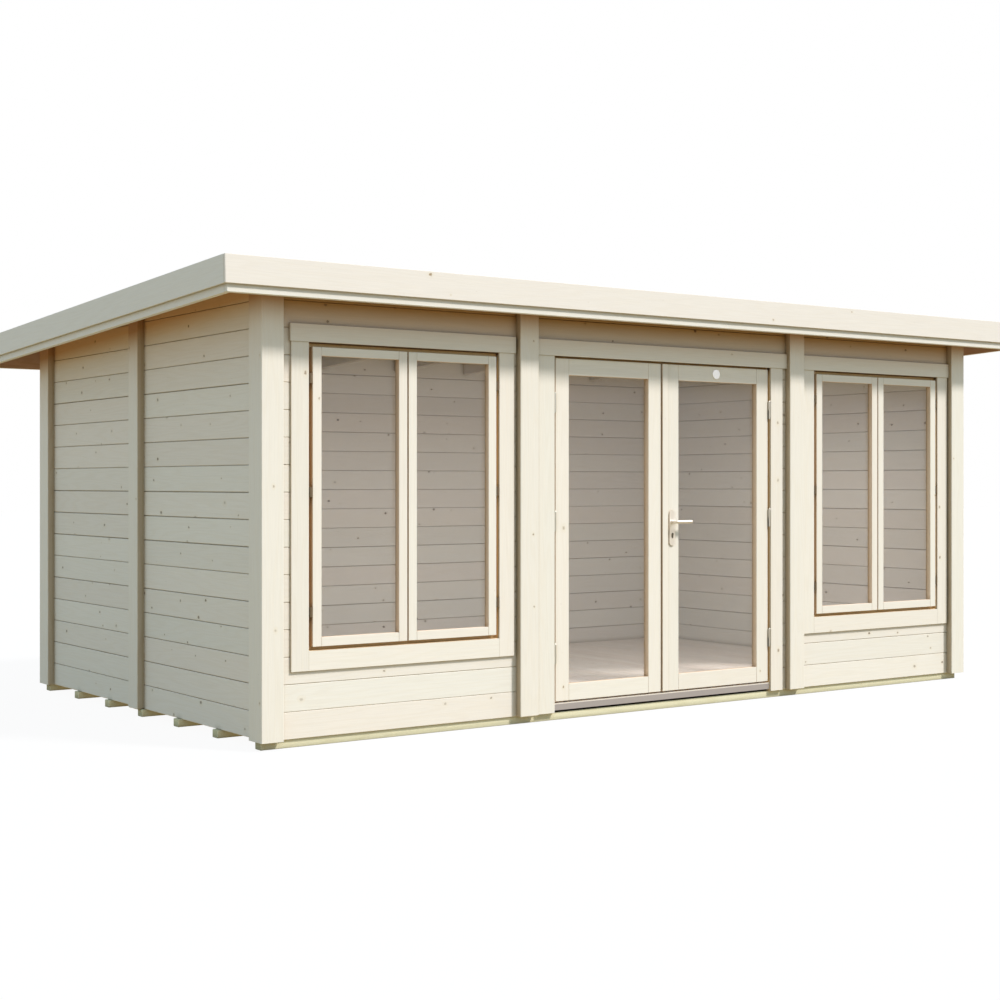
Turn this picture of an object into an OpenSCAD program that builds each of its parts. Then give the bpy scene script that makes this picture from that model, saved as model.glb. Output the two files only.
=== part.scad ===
// Garden cabin with a single-slope roof, built of horizontal boards between
// plank posts, with a glazed double door in the middle of the front wall and a
// pair of window sashes on each side of it.
// +X runs along the front to the right, +Y to the back and +Z up. The origin
// is on the ground, under the middle of the roof's outline.

/* [Walls] */
// Depth of the cabin over the faces of its boards
wall_d = 2930; // [2600:10:3300]
// Thickness of the wall boards
wall_t = 28; // [20:1:45]
// Height of the boards over the head trims, up to the underside of the rafters
wall_over = 149; // [100:1:300]

/* [Bearers and floor] */
// Number of bearers under the floor
bearer_count = 7; // [5:2:9]
// Width of a bearer
bearer_w = 60; // [45:5:80]
// Height of a bearer
bearer_h = 42; // [35:1:70]
// Distance that a bearer runs past the wall boards at each end
bearer_out = 20; // [0:5:40]
// Distance of the first and last bearer in from the wall faces
bearer_in = 12; // [0:1:60]
// Thickness of the floor boards
floor_t = 19; // [16:1:28]

/* [Posts] */
// Distance that the posts stand proud of the boards
post_t = 44; // [30:1:60]
// Width of the posts along the walls
post_w = 122; // [100:2:140]
// Width of a corner post on the cabin's side
corner_side_w = 139; // [110:1:160]
// Size of the eased edges of the posts
post_ease = 4; // [1:0.5:6]
// Bare boards between the door's trim and the posts beside it
door_bare_w = 34; // [10:1:60]
// Bare boards between a window's trim and the post towards the door
window_bare_w = 20; // [14:1:60]
// Bare boards between the left window's trim and the corner post
left_bare_w = 57; // [20:1:90]
// Bare boards between the right window's trim and the corner post
right_bare_w = 8; // [4:1:12]
// Distance of the side posts' middle behind the front boards' face
side_post_y = 1511; // [1300:1:1650]

/* [Windows] */
// Width of a pair of sashes
sash_pair_w = 1115; // [900:1:1400]
// Height of the sashes
sash_h = 1486; // [900:2:1600]
// Thickness of a sash
sash_t = 38; // [34:1:45]
// Distance that the sashes stand in front of the wall boards
sash_out = 13; // [2:1:16]
// Width of a sash's stiles
sash_stile_w = 50; // [40:1:70]
// Height of a sash's top rail
sash_top_h = 43; // [36:1:70]
// Height of a sash's bottom rail
sash_bottom_h = 46; // [40:1:80]
// Gap between two sashes
sash_gap = 8; // [4:1:12]
// Gap between a sash and its frame
sash_play = 18; // [12:1:20]
// Width of the window frame's outer part
frame_w = 38; // [34:1:50]
// Width of the stop that a sash closes on
stop_w = 30; // [26:1:36]
// Depth of a stop
stop_d = 20; // [12:1:30]

/* [Trim] */
// Width of the trim boards at the sides and below
trim_w = 98; // [90:1:140]
// Height of the trim boards over windows and door
head_trim_h = 88; // [70:1:100]
// Thickness of the trim boards
trim_t = 12; // [10:1:20]
// Thickness of the trim boards over windows and door
head_trim_t = 18; // [14:1:26]
// Part of the window frame that the trim leaves open
window_trim_gap = 21; // [14:1:26]
// Part of the window frame that the head trim leaves open over the sashes
sash_head_gap = 23; // [14:1:34]
// Part of the door frame that the head trim leaves open over the leaves
leaf_head_gap = 11; // [8:1:28]
// Part of the window frame that the trim leaves open under the sashes
sash_foot_gap = 20; // [10:1:26]
// Part of the door frame that the trim leaves open beside a leaf
door_trim_gap = 15; // [14:1:24]

/* [Door] */
// Distance of the hinged edge of each leaf from the middle
leaf_edge = 810; // [700:1:950]
// Distance of the line where the leaves meet to the left of the middle
meeting_x = 42; // [0:1:60]
// Gap between the leaves
meeting_gap = 8; // [7:1:12]
// Height of the leaves' lower edge above the bearers
leaf_z = 60; // [48:1:75]
// Height of the leaves
leaf_h = 1887; // [1700:1:2100]
// Thickness of a leaf
leaf_t = 42; // [38:1:50]
// Distance of the leaves behind the wall boards' face
leaf_in = 1; // [0:1:12]
// Width of the stiles
leaf_stile_w = 93; // [80:1:120]
// Width of the right leaf's stile with the lock
lock_stile_w = 128; // [105:1:150]
// Height of the top rails
leaf_top_h = 91; // [80:1:120]
// Height of the bottom rails
leaf_bottom_h = 92; // [80:1:200]
// Running gap beside and over the leaves
leaf_play = 12; // [8:1:14]
// Running gap under the leaves
foot_play = 6; // [5:1:8]
// Gap between a closed leaf and its stop
stop_play = 5; // [5:1:8]
// Width of the jambs and head of the door frame
jamb_w = 34; // [30:1:45]
// Width of the strip that covers the meeting line
cover_w = 42; // [30:1:60]
// Thickness of that strip
cover_t = 8; // [5:1:12]
// Thickness of the threshold's aluminium
threshold_t = 3; // [2:0.5:5]
// Fall of the threshold's top towards the front
threshold_fall = 3; // [2:1:12]
// Height of the threshold's upstand behind the leaves
upstand_h = 14; // [10:1:20]
// Height of the threshold's open feet under its front lip
threshold_foot = 12; // [6:1:16]
// Number of hollow chambers in the threshold
chamber_count = 3; // [1:1:4]

/* [Glass] */
// Thickness of the panes
glass_t = 4; // [3:1:6]
// Depth of a pane behind the face of its sash or leaf
glass_in = 29; // [20:1:30]
// Depth to which a pane sits in its groove
glass_groove = 8; // [5:1:12]

/* [Ironwork] */
// Radius of a door hinge's barrel
barrel_r = 6; // [5:0.5:6.5]
// Length of a door hinge's barrel
barrel_l = 105; // [80:1:130]
// Radius of a door hinge's pin
pin_r = 3; // [2.5:0.5:4]
// Thickness of a hinge's plates
plate_t = 2; // [1.5:0.5:2.5]
// Distance of the hinges' pins in front of the wall boards
pin_out = 7; // [6.5:0.5:8]
// Radius of a window hinge's barrel
sash_barrel_r = 5; // [4:0.5:6]
// Length of a window hinge's barrel
sash_barrel_l = 50; // [40:1:70]
// Depth of a window hinge's plates
sash_plate_d = 20; // [12:1:24]
// Height of the cap at each end of a door hinge
finial_h = 5; // [3:1:8]
// Width of the handle's back plates
handle_plate_w = 42; // [34:1:50]
// Height of the handle's back plates
handle_plate_h = 205; // [180:1:240]
// Thickness of the handle's back plates
handle_plate_t = 7; // [5:1:10]
// Distance of the levers' shaft from the lock stile's glass edge
handle_in = 54; // [40:1:60]
// Height of the levers' shaft above the bearers
handle_z = 1036; // [950:1:1100]
// Distance of the levers' shaft above the plates' middle
handle_up = 35; // [20:1:50]
// Distance of the lock cylinder below the levers' shaft
cylinder_down = 72; // [70:1:92]
// Radius of the lock cylinder's round part
cylinder_r = 8.5; // [8:0.5:9]
// Height of the whole lock cylinder
cylinder_h = 33; // [30:1:36]
// Distance that the lock cylinder stands proud of its plate
cylinder_out = 3; // [1:0.5:5]
// Radius of the levers' necks
neck_r = 9; // [7:0.5:11]
// Length of a lever from the middle of its shaft
lever_l = 118; // [100:1:140]
// Radius of a lever's grip
lever_r = 10; // [7:0.5:11]
// Distance of a grip's middle from its back plate
lever_out = 42; // [35:1:55]
// Radius of the bend between a lever's neck and its grip
lever_bend_r = 14; // [11.5:0.5:20]

/* [Roof] */
// Slope of the roof, down to the back
roof_pitch = 2.58; // [1.5:0.01:4]
// Roof edge in front of the wall boards, over the fascia
eave_front = 234; // [180:1:300]
// Roof edge behind the wall boards, over the fascia
eave_back = 346; // [180:1:400]
// Roof edge beside the wall boards, over the fascia
eave_side = 330; // [200:1:400]
// Distance between the rafters
rafter_step = 600; // [580:5:620]
// Number of rafters
rafter_count = 9; // [7:2:9]
// Width of a rafter
rafter_w = 45; // [35:1:60]
// Height of a rafter
rafter_h = 95; // [80:1:120]
// Thickness of the roof boards
deck_t = 19; // [16:1:24]
// Thickness of the roofing felt
felt_t = 3; // [2:1:5]
// Thickness of the rim boards
rim_t = 28; // [20:1:40]
// Height of the rim boards
rim_h = 150; // [140:1:170]
// Thickness of the fascia boards
fascia_t = 15; // [12:1:24]
// Height of the fascia boards
fascia_h = 138; // [120:1:140]
// Height of the fascia above the felt
fascia_up = 5; // [0:1:10]

/* [Hidden] */
$fn = 48;

// Colours
wood = "#f0e6d2";
frame_wood = "#e6d3b3";
green_wood = "#8f9470";
pane = "#9a958c";
metal = "#c9c8c2";
felt = "#3c3f42";

// Places of the posts and trims
door_trim_in = leaf_edge + door_trim_gap;
trim_half = sash_pair_w / 2 + window_trim_gap;
post_inner = door_trim_in + trim_w + door_bare_w;
post_outer = post_inner + post_w;
window_x = post_outer + window_bare_w + trim_w + trim_half;
corner_inner = window_x + trim_half + trim_w + (left_bare_w + right_bare_w) / 2;
front_x = (left_bare_w - right_bare_w) / 2;
head_line = leaf_z + leaf_h + leaf_head_gap;

// Places of the walls
wall_l = 2 * (corner_inner + post_w - post_t);
wall_h = head_line + head_trim_h + wall_over;
roof_l = wall_l + 2 * eave_side;
roof_d = wall_d + eave_front + eave_back;
front_y = eave_front - roof_d / 2;
back_y = front_y + wall_d;
half_l = wall_l / 2;
wall_top = bearer_h + wall_h;
side_y = front_y + side_post_y;
cut_over = 400;

// Places of the windows
sash_w = (sash_pair_w - sash_gap) / 2;
sash_top = bearer_h + head_line - sash_head_gap;
sash_bottom = sash_top - sash_h;
frame_half = sash_pair_w / 2 + sash_play + frame_w;
frame_d = sash_t - sash_out + stop_d;
foot_trim_top = sash_bottom - sash_foot_gap;

// Places of the door
leaf_bottom = bearer_h + leaf_z;
leaf_top = leaf_bottom + leaf_h;
leaf_y = front_y + leaf_in;
leaf_back = leaf_y + leaf_t;
jamb_in = leaf_edge + leaf_play;
jamb_out = jamb_in + jamb_w;
jamb_d = leaf_in + leaf_t + stop_play + stop_d;
head_bottom = leaf_top + leaf_play;
head_top = head_bottom + jamb_w;
left_edge = -meeting_x - meeting_gap / 2;
right_edge = -meeting_x + meeting_gap / 2;
left_glass = [-leaf_edge + leaf_stile_w, left_edge - leaf_stile_w];
right_glass = [right_edge + lock_stile_w, leaf_edge - leaf_stile_w];
head_trim_bottom = bearer_h + head_line;
threshold_h = leaf_z - foot_play;
stop_y = leaf_in + leaf_t + stop_play;
pin_x = leaf_edge + door_trim_gap / 2;
pin_y = front_y - pin_out;
hinge_z = [0.14, 0.525, 0.87];
handle_x = right_glass[0] - handle_in;
handle_y = leaf_y - handle_plate_t;
shaft_w = 8;
pin_play = 0.05;
neck_play = 0.5;

// Levels of the roof, square to its slope, from the rafters' underside
deck_z = rafter_h;
felt_z = deck_z + deck_t;
roof_top = felt_z + felt_t;
rim_z = deck_z - rim_h;
fascia_z = roof_top + fascia_up - fascia_h;
slope_front = -(eave_front + fascia_z * sin(roof_pitch)) / cos(roof_pitch);
slope_back = (wall_d + eave_back - felt_z * sin(roof_pitch)) / cos(roof_pitch);
slope_d = slope_back - slope_front;
rim_half = roof_l / 2 - fascia_t;

// The roof's own frame: its y runs down the slope from the front boards' face
module on_roof() {
    translate([0, front_y, wall_top]) rotate([-roof_pitch, 0, 0]) children();
}

// Cuts its children off under the roof boards
module under_roof() {
    difference() {
        children();
        on_roof() translate([-roof_l, -roof_d, deck_z]) cube([2 * roof_l, 3 * roof_d, 4 * cut_over]);
    }
}

// The front wall's own frame, in the middle of the door and its windows
module on_front() {
    translate([front_x, 0, 0]) children();
}

// A box given by its lowest and highest corner
module block(low, high) {
    translate(low) cube(high - low);
}

// The section of a planed plank with eased edges
module eased(w, d, c = post_ease) {
    polygon([[c, 0], [w - c, 0], [w, c], [w, d - c], [w - c, d], [c, d], [0, d - c], [0, c]]);
}

// One wall up to the roof boards, notched round the rafters
module wall(low, high) {
    difference() {
        under_roof() block([low[0], low[1], bearer_h], [high[0], high[1], wall_top + cut_over]);
        rafter_row(2 * rafter_h);
    }
}

// The rafters, or taller notches for them
module rafter_row(h) {
    for (i = [0 : rafter_count - 1])
        on_roof() translate([(i - (rafter_count - 1) / 2) * rafter_step - rafter_w / 2,
            slope_front + fascia_t + rim_t, 0])
            cube([rafter_w, slope_d - 2 * (fascia_t + rim_t), h]);
}

// Bearers and floor

module bearers() {
    step = (wall_d - 2 * bearer_in - bearer_w) / (bearer_count - 1);
    color(green_wood)
        for (i = [0 : bearer_count - 1])
            translate([-half_l - bearer_out, front_y + bearer_in + i * step, 0])
                cube([wall_l + 2 * bearer_out, bearer_w, bearer_h]);
}

module floor_boards() {
    color(frame_wood) difference() {
        block([-half_l + wall_t, front_y + wall_t, bearer_h],
            [half_l - wall_t, back_y - wall_t, bearer_h + floor_t]);
        on_front() block([-jamb_out, front_y, 0], [jamb_out, front_y + jamb_d, wall_top]);
    }
}

// Walls

module window_wall(side) {
    inner = front_x + side * (post_outer - post_w / 2);
    difference() {
        wall([min(inner, side * half_l), front_y], [max(inner, side * half_l), front_y + wall_t]);
        window_place(side)
            block([-frame_half, -wall_t, sash_bottom - sash_play - frame_w],
                [frame_half, 2 * wall_t, sash_top + sash_play + frame_w]);
    }
}

module front_wall_beside_door() {
    color(wood)
        for (side = [-1, 1])
            mirror([side < 0 ? 1 : 0, 0, 0])
                block([jamb_out, front_y, bearer_h], [post_outer - post_w / 2, front_y + wall_t, head_top]);
}

module front_wall_over_door() {
    color(wood) difference() {
        wall([front_x - post_outer + post_w / 2, front_y], [front_x + post_outer - post_w / 2, front_y + wall_t]);
        block([-roof_l, front_y - wall_t, 0], [roof_l, front_y + 2 * wall_t, head_top]);
    }
}

module side_wall(side) {
    mirror([side < 0 ? 1 : 0, 0, 0])
        wall([half_l - wall_t, front_y + wall_t], [half_l, back_y - wall_t]);
}

module back_wall() {
    color(wood) wall([-half_l, back_y - wall_t], [half_l, back_y]);
}

// Posts

// The section of a corner post: two legs from its outer corner
module angle_section(w, d, t, c = post_ease) {
    polygon([[c, 0], [w - c, 0], [w, c], [w, t], [t, t], [t, d], [c, d], [0, d - c], [0, c]]);
}

module corner_post(side, end) {
    y = end < 0 ? front_y - post_t : back_y + post_t;
    color(wood) under_roof() translate([side * (half_l + post_t), y, bearer_h])
        mirror([side < 0 ? 0 : 1, 0, 0]) mirror([0, end < 0 ? 0 : 1, 0])
            linear_extrude(wall_h + cut_over) angle_section(post_w, corner_side_w, post_t);
}

module plank_post(x, y, along_x) {
    size = along_x ? [post_w, post_t] : [post_t, post_w];
    under_roof() translate([x, y, bearer_h]) linear_extrude(wall_h + cut_over) eased(size[0], size[1]);
}

module front_posts() {
    color(wood)
        for (side = [-1, 1])
            plank_post(side * (post_outer - post_w / 2) - post_w / 2, front_y - post_t, true);
}

module side_posts() {
    color(wood)
        for (side = [-1, 1])
            plank_post(side * (half_l + post_t / 2) - post_t / 2, side_y - post_w / 2, false);
}

module back_posts() {
    color(wood)
        for (side = [-1, 1])
            plank_post(side * (post_outer - post_w / 2) - post_w / 2, back_y, true);
}

// Windows

module window_place(side) {
    on_front() translate([side * window_x, front_y, 0]) children();
}

module window_trim(side) {
    head = head_trim_bottom;
    color(wood) window_place(side) {
        for (s = [-1, 1])
            translate([s * (trim_half + trim_w / 2) - trim_w / 2, -trim_t, foot_trim_top - trim_w])
                cube([trim_w, trim_t, head - foot_trim_top + trim_w]);
        translate([-trim_half - 1, -trim_t, foot_trim_top - trim_w])
            cube([2 * trim_half + 2, trim_t, trim_w]);
        translate([-trim_half - trim_w - right_bare_w, -head_trim_t, head])
            cube([2 * (trim_half + trim_w + right_bare_w), head_trim_t, head_trim_h]);
    }
}

module window_frame(side) {
    inner = sash_pair_w / 2 + sash_play;
    color(frame_wood) window_place(side) difference() {
        block([-frame_half, 0, sash_bottom - sash_play - frame_w],
            [frame_half, frame_d, sash_top + sash_play + frame_w]);
        block([-inner, -1, sash_bottom - sash_play], [inner, sash_t - sash_out, sash_top + sash_play]);
        block([stop_w - inner, 0, sash_bottom - sash_play + stop_w],
            [inner - stop_w, frame_d + 1, sash_top + sash_play - stop_w]);
    }
}

// A glazed frame: stiles and rails round one pane, which sits in a groove
module glazed_frame(low, high, glass_low, glass_high, depth) {
    difference() {
        block([low[0], 0, low[1]], [high[0], depth, high[1]]);
        block([glass_low[0], -1, glass_low[1]], [glass_high[0], depth + 1, glass_high[1]]);
        pane_block(glass_low, glass_high);
    }
}

module pane_block(glass_low, glass_high) {
    g = [glass_groove, glass_groove];
    low = glass_low - g;
    high = glass_high + g;
    block([low[0], glass_in, low[1]], [high[0], glass_in + glass_t, high[1]]);
}

module sash_place(side, s) {
    window_place(side) translate([s * (sash_gap + sash_w) / 2, -sash_out, 0]) children();
}

module window_sashes(side) {
    color(wood)
        for (s = [-1, 1])
            sash_place(side, s)
                glazed_frame([-sash_w / 2, sash_bottom], [sash_w / 2, sash_top],
                    [sash_stile_w - sash_w / 2, sash_bottom + sash_bottom_h],
                    [sash_w / 2 - sash_stile_w, sash_top - sash_top_h], sash_t);
}

module window_glass(side) {
    color(pane, 0.5)
        for (s = [-1, 1])
            sash_place(side, s)
                pane_block([sash_stile_w - sash_w / 2, sash_bottom + sash_bottom_h],
                    [sash_w / 2 - sash_stile_w, sash_top - sash_top_h]);
}

// A window hinge: a barrel in the gap beside the sash, with a plate on the
// sash's edge and one on the frame
module sash_hinge_section() {
    circle(sash_barrel_r);
    translate([-sash_play / 2, -plate_t / 2]) square([sash_play, plate_t]);
    for (s = [-1, 1])
        translate([s * (sash_play - plate_t) / 2 - plate_t / 2, -plate_t / 2])
            square([plate_t, sash_plate_d]);
}

module window_hinges() {
    color(metal)
        for (side = [-1, 1], s = [-1, 1], k = [0.116, 0.516, 0.895])
            window_place(side)
                translate([s * (sash_pair_w + sash_play) / 2, -sash_out, sash_bottom + k * sash_h - sash_barrel_l / 2])
                    linear_extrude(sash_barrel_l) sash_hinge_section();
}

// Door frame

module door_trim() {
    color(wood) {
        for (side = [-1, 1])
            translate([side * (door_trim_in + trim_w / 2) - trim_w / 2, front_y - trim_t, bearer_h])
                cube([trim_w, trim_t, head_trim_bottom - bearer_h]);
        translate([-post_inner, front_y - head_trim_t, head_trim_bottom])
            cube([2 * post_inner, head_trim_t, head_trim_h]);
    }
}

module door_frame() {
    color(frame_wood) difference() {
        block([-jamb_out, front_y, bearer_h], [jamb_out, front_y + jamb_d, head_top]);
        block([-jamb_in, front_y - 1, 0], [jamb_in, front_y + jamb_d - stop_d, head_bottom]);
        block([stop_w - jamb_in, front_y, 0], [jamb_in - stop_w, front_y + jamb_d + 1, head_bottom - stop_w]);
        block([-jamb_in, front_y - 1, 0], [jamb_in, front_y + jamb_d + 1, bearer_h + threshold_h]);
    }
}

// The threshold is an extrusion, hollow below, with an upstand that the leaves
// close against between the side stops
module threshold_section() {
    step = (jamb_d - threshold_t) / chamber_count;
    chamber_z = threshold_foot + threshold_t;
    difference() {
        polygon([[0, 0], [0, threshold_h - threshold_fall], [stop_y, threshold_h], [jamb_d, threshold_h], [jamb_d, 0]]);
        for (i = [0 : chamber_count - 1])
            translate([threshold_t + i * step, 0]) {
                translate([0, chamber_z]) square([step - threshold_t, threshold_h - threshold_fall - threshold_t - chamber_z]);
                translate([0, -1]) square([step - threshold_t, threshold_foot + 1]);
            }
        translate([-1, -1]) square([threshold_t + 2, threshold_foot + 1]);
    }
}

module door_threshold() {
    upstand_l = 2 * (jamb_in - stop_w);
    color(metal) translate([0, front_y, bearer_h]) rotate([90, 0, 90]) {
        translate([0, 0, -jamb_in]) linear_extrude(2 * jamb_in) threshold_section();
        translate([stop_y, threshold_h - threshold_t, -upstand_l / 2])
            cube([threshold_t, upstand_h + threshold_t, upstand_l]);
    }
}

// Door leaves

module left_door_leaf() {
    color(wood) translate([0, leaf_y, 0])
        glazed_frame([-leaf_edge, leaf_bottom], [left_edge, leaf_top],
            [left_glass[0], leaf_bottom + leaf_bottom_h], [left_glass[1], leaf_top - leaf_top_h], leaf_t);
}

module right_door_leaf() {
    color(wood) difference() {
        translate([0, leaf_y, 0])
            glazed_frame([right_edge, leaf_bottom], [leaf_edge, leaf_top],
                [right_glass[0], leaf_bottom + leaf_bottom_h], [right_glass[1], leaf_top - leaf_top_h], leaf_t);
        shaft_hole(leaf_y - 1, leaf_t + 2);
    }
}

module shaft_hole(y, depth) {
    translate([handle_x, y, bearer_h + handle_z]) rotate([-90, 0, 0])
        cylinder(h = depth, r = neck_r + neck_play);
}

module left_door_glass() {
    color(pane, 0.5) translate([0, leaf_y, 0])
        pane_block([left_glass[0], leaf_bottom + leaf_bottom_h], [left_glass[1], leaf_top - leaf_top_h]);
}

module right_door_glass() {
    color(pane, 0.5) translate([0, leaf_y, 0])
        pane_block([right_glass[0], leaf_bottom + leaf_bottom_h], [right_glass[1], leaf_top - leaf_top_h]);
}

module door_cover_strip() {
    c = cover_t / 3;
    color(wood) translate([right_edge, leaf_y, leaf_bottom]) linear_extrude(leaf_h)
        polygon([[0, 0], [0, c - cover_t], [c, -cover_t], [cover_w - c, -cover_t], [cover_w, c - cover_t], [cover_w, 0]]);
}

// Hinges: a barrel in two halves, the upper one on the leaf and the lower one,
// with the pin, on the frame. Each half has its plate in the gap at the edge.

module hinge_at(side, k) {
    mirror([side < 0 ? 1 : 0, 0, 0])
        translate([pin_x, pin_y, leaf_bottom + hinge_z[k] * leaf_h]) children();
}

module finial() {
    cylinder(h = finial_h, r1 = barrel_r, r2 = barrel_r / 2);
}

module leaf_hinges(side) {
    color(metal)
        for (k = [0 : len(hinge_z) - 1])
            hinge_at(side, k) difference() {
                union() {
                    cylinder(h = barrel_l / 2, r = barrel_r);
                    translate([0, 0, barrel_l / 2]) finial();
                    translate([leaf_edge - pin_x, 0, 0]) cube([plate_t, leaf_back - pin_y, barrel_l / 2]);
                }
                translate([0, 0, -1]) cylinder(h = barrel_l / 2 - 1, r = pin_r + pin_play);
            }
}

module frame_hinges() {
    color(metal)
        for (side = [-1, 1], k = [0 : len(hinge_z) - 1])
            hinge_at(side, k) {
                translate([0, 0, -barrel_l / 2]) cylinder(h = barrel_l / 2 - neck_play, r = barrel_r);
                translate([0, 0, -barrel_l / 2]) mirror([0, 0, 1]) finial();
                translate([0, 0, -barrel_l / 2]) cylinder(h = barrel_l - 4, r = pin_r);
                translate([jamb_in - plate_t - pin_x, 0, -barrel_l / 2])
                    cube([plate_t, leaf_back - pin_y, barrel_l / 2 - neck_play]);
            }
}

// Handle

module handle_side(inside) {
    translate([handle_x, inside ? leaf_back : leaf_y, bearer_h + handle_z])
        mirror([0, inside ? 0 : 1, 0]) children();
}

// Extrudes a face seen square on, with its y upwards, out from the door
module from_door(depth) {
    translate([0, depth, 0]) rotate([90, 0, 0]) linear_extrude(depth) children();
}

module handle_plate_face() {
    straight = handle_plate_h - handle_plate_w;
    translate([0, -handle_up]) {
        square([handle_plate_w, straight], center = true);
        for (s = [-1, 1])
            translate([0, s * straight / 2]) circle(handle_plate_w / 2);
    }
}

module lock_cylinder_face() {
    translate([0, -cylinder_down]) {
        circle(cylinder_r);
        translate([-cylinder_r / 2, cylinder_r - cylinder_h]) square([cylinder_r, cylinder_h - cylinder_r]);
    }
}

module door_handle_plates() {
    color(metal)
        for (inside = [false, true])
            difference() {
                handle_side(inside) {
                    from_door(handle_plate_t) handle_plate_face();
                    from_door(handle_plate_t + cylinder_out) lock_cylinder_face();
                }
                shaft_hole(leaf_y - leaf_t, 3 * leaf_t);
            }
}

// A lever: a neck out of the plate, a bend and a grip with a round end
module lever() {
    neck_l = handle_plate_t + lever_out - lever_bend_r;
    grip_y = handle_plate_t + lever_out;
    rotate([-90, 0, 0]) cylinder(h = neck_l, r = neck_r);
    translate([lever_bend_r, neck_l, 0]) rotate([0, 0, 90]) rotate_extrude(angle = 90)
        translate([lever_bend_r, 0]) circle(lever_r);
    translate([lever_bend_r, grip_y, 0]) rotate([0, 90, 0])
        cylinder(h = lever_l - lever_r - lever_bend_r, r = lever_r);
    translate([lever_l - lever_r, grip_y, 0]) sphere(lever_r);
}

module door_levers() {
    color(metal) {
        handle_side(false) translate([-shaft_w / 2, -leaf_t, -shaft_w / 2])
            cube([shaft_w, leaf_t, shaft_w]);
        for (inside = [false, true])
            handle_side(inside) lever();
    }
}

// Roof

module rim_boards_front_back() {
    color(wood) on_roof()
        for (y = [slope_front + fascia_t, slope_back - fascia_t - rim_t])
            translate([-rim_half, y, rim_z]) cube([2 * rim_half, rim_t, rim_h]);
}

module rim_boards_sides() {
    color(wood) on_roof()
        for (side = [-1, 1])
            translate([side * (rim_half - rim_t / 2) - rim_t / 2, slope_front + fascia_t + rim_t, rim_z])
                cube([rim_t, slope_d - 2 * (fascia_t + rim_t), rim_h]);
}

module roof_layer(z, t) {
    on_roof() translate([-rim_half, slope_front + fascia_t, z]) cube([2 * rim_half, slope_d - 2 * fascia_t, t]);
}

module fascia_front_back() {
    color(wood) on_roof() {
        translate([-roof_l / 2, slope_front, fascia_z]) cube([roof_l, fascia_t, fascia_h]);
        translate([-roof_l / 2, slope_back - fascia_t, felt_z - fascia_h])
            cube([roof_l, fascia_t, fascia_h]);
    }
}

module fascia_sides() {
    color(wood) on_roof()
        for (side = [-1, 1])
            translate([side * (roof_l - fascia_t) / 2 - fascia_t / 2, slope_front + fascia_t, fascia_z])
                cube([fascia_t, slope_d - 2 * fascia_t, fascia_h]);
}

bearers();
floor_boards();  // floor
color(wood) window_wall(-1);  // front_wall_left
color(wood) window_wall(1);  // front_wall_right
on_front() front_wall_beside_door();
front_wall_over_door();
color(wood) side_wall(-1);  // left_wall
color(wood) side_wall(1);  // right_wall
back_wall();
corner_post(-1, -1);  // front_left_corner_post
corner_post(1, -1);  // front_right_corner_post
corner_post(-1, 1);  // back_left_corner_post
corner_post(1, 1);  // back_right_corner_post
on_front() front_posts();
side_posts();
back_posts();
window_trim(-1);  // left_window_trim
window_trim(1);  // right_window_trim
window_frame(-1);  // left_window_frame
window_frame(1);  // right_window_frame
window_sashes(-1);  // left_window_sashes
window_sashes(1);  // right_window_sashes
window_glass(-1);  // left_window_glass
window_glass(1);  // right_window_glass
window_hinges();
on_front() door_trim();
on_front() door_frame();
on_front() door_threshold();
on_front() left_door_leaf();
on_front() right_door_leaf();
on_front() left_door_glass();
on_front() right_door_glass();
on_front() door_cover_strip();
on_front() leaf_hinges(-1);  // left_door_hinges
on_front() leaf_hinges(1);  // right_door_hinges
on_front() frame_hinges();
on_front() door_handle_plates();
on_front() door_levers();
color(frame_wood) rafter_row(rafter_h);  // rafters
rim_boards_front_back();
rim_boards_sides();
color(frame_wood) roof_layer(deck_z, deck_t);  // roof_boards
color(felt) roof_layer(felt_z, felt_t);  // roof_felt
fascia_front_back();
fascia_sides();
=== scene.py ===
"""A garden cabin of spruce boards with a single-slope roof, on treated bearers.

The sections follow the cabin as it is put together: bearers, floor, walls,
posts, windows, door, handle and roof, and then the studio that it stands in.
Lengths are in metres, with +X along the front, +Y to the back and +Z up.
"""

import math

import bpy
import numpy as np
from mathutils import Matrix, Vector


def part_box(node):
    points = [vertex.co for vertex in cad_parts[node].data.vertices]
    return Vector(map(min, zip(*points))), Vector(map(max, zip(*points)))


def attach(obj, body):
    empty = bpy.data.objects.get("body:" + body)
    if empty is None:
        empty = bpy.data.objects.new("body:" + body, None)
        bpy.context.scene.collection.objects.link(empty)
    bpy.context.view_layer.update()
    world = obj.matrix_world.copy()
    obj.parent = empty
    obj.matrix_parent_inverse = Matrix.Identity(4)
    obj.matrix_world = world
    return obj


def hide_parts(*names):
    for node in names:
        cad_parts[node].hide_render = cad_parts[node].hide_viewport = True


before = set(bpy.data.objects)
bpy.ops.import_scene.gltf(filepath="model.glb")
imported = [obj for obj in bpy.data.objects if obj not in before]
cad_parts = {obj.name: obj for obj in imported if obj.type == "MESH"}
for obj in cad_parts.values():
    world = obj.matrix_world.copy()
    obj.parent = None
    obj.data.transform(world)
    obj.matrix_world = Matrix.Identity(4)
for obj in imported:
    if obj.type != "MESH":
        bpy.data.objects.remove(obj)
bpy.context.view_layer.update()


# Bearers
# Squared pine timbers, pressure treated against rot, which turns them a dull
# green. They are sawn to length, lie on the ground and carry floor and walls.

chance = np.random.default_rng(20)
X, Y, Z = axes = np.eye(3)
arris, nook_reach = 0.0025, 0.035

side_low, side_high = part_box("left_wall")
back_low, back_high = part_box("back_wall")
roof_fall = (side_high.z - back_high.z) / (back_low.y - side_low.y)

room_low, room_high = (np.array(c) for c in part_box("floor"))
room_margin = 0.01
room_middle, room_half = (room_low + room_high) / 2, (room_high - room_low) / 2 + room_margin


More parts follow.
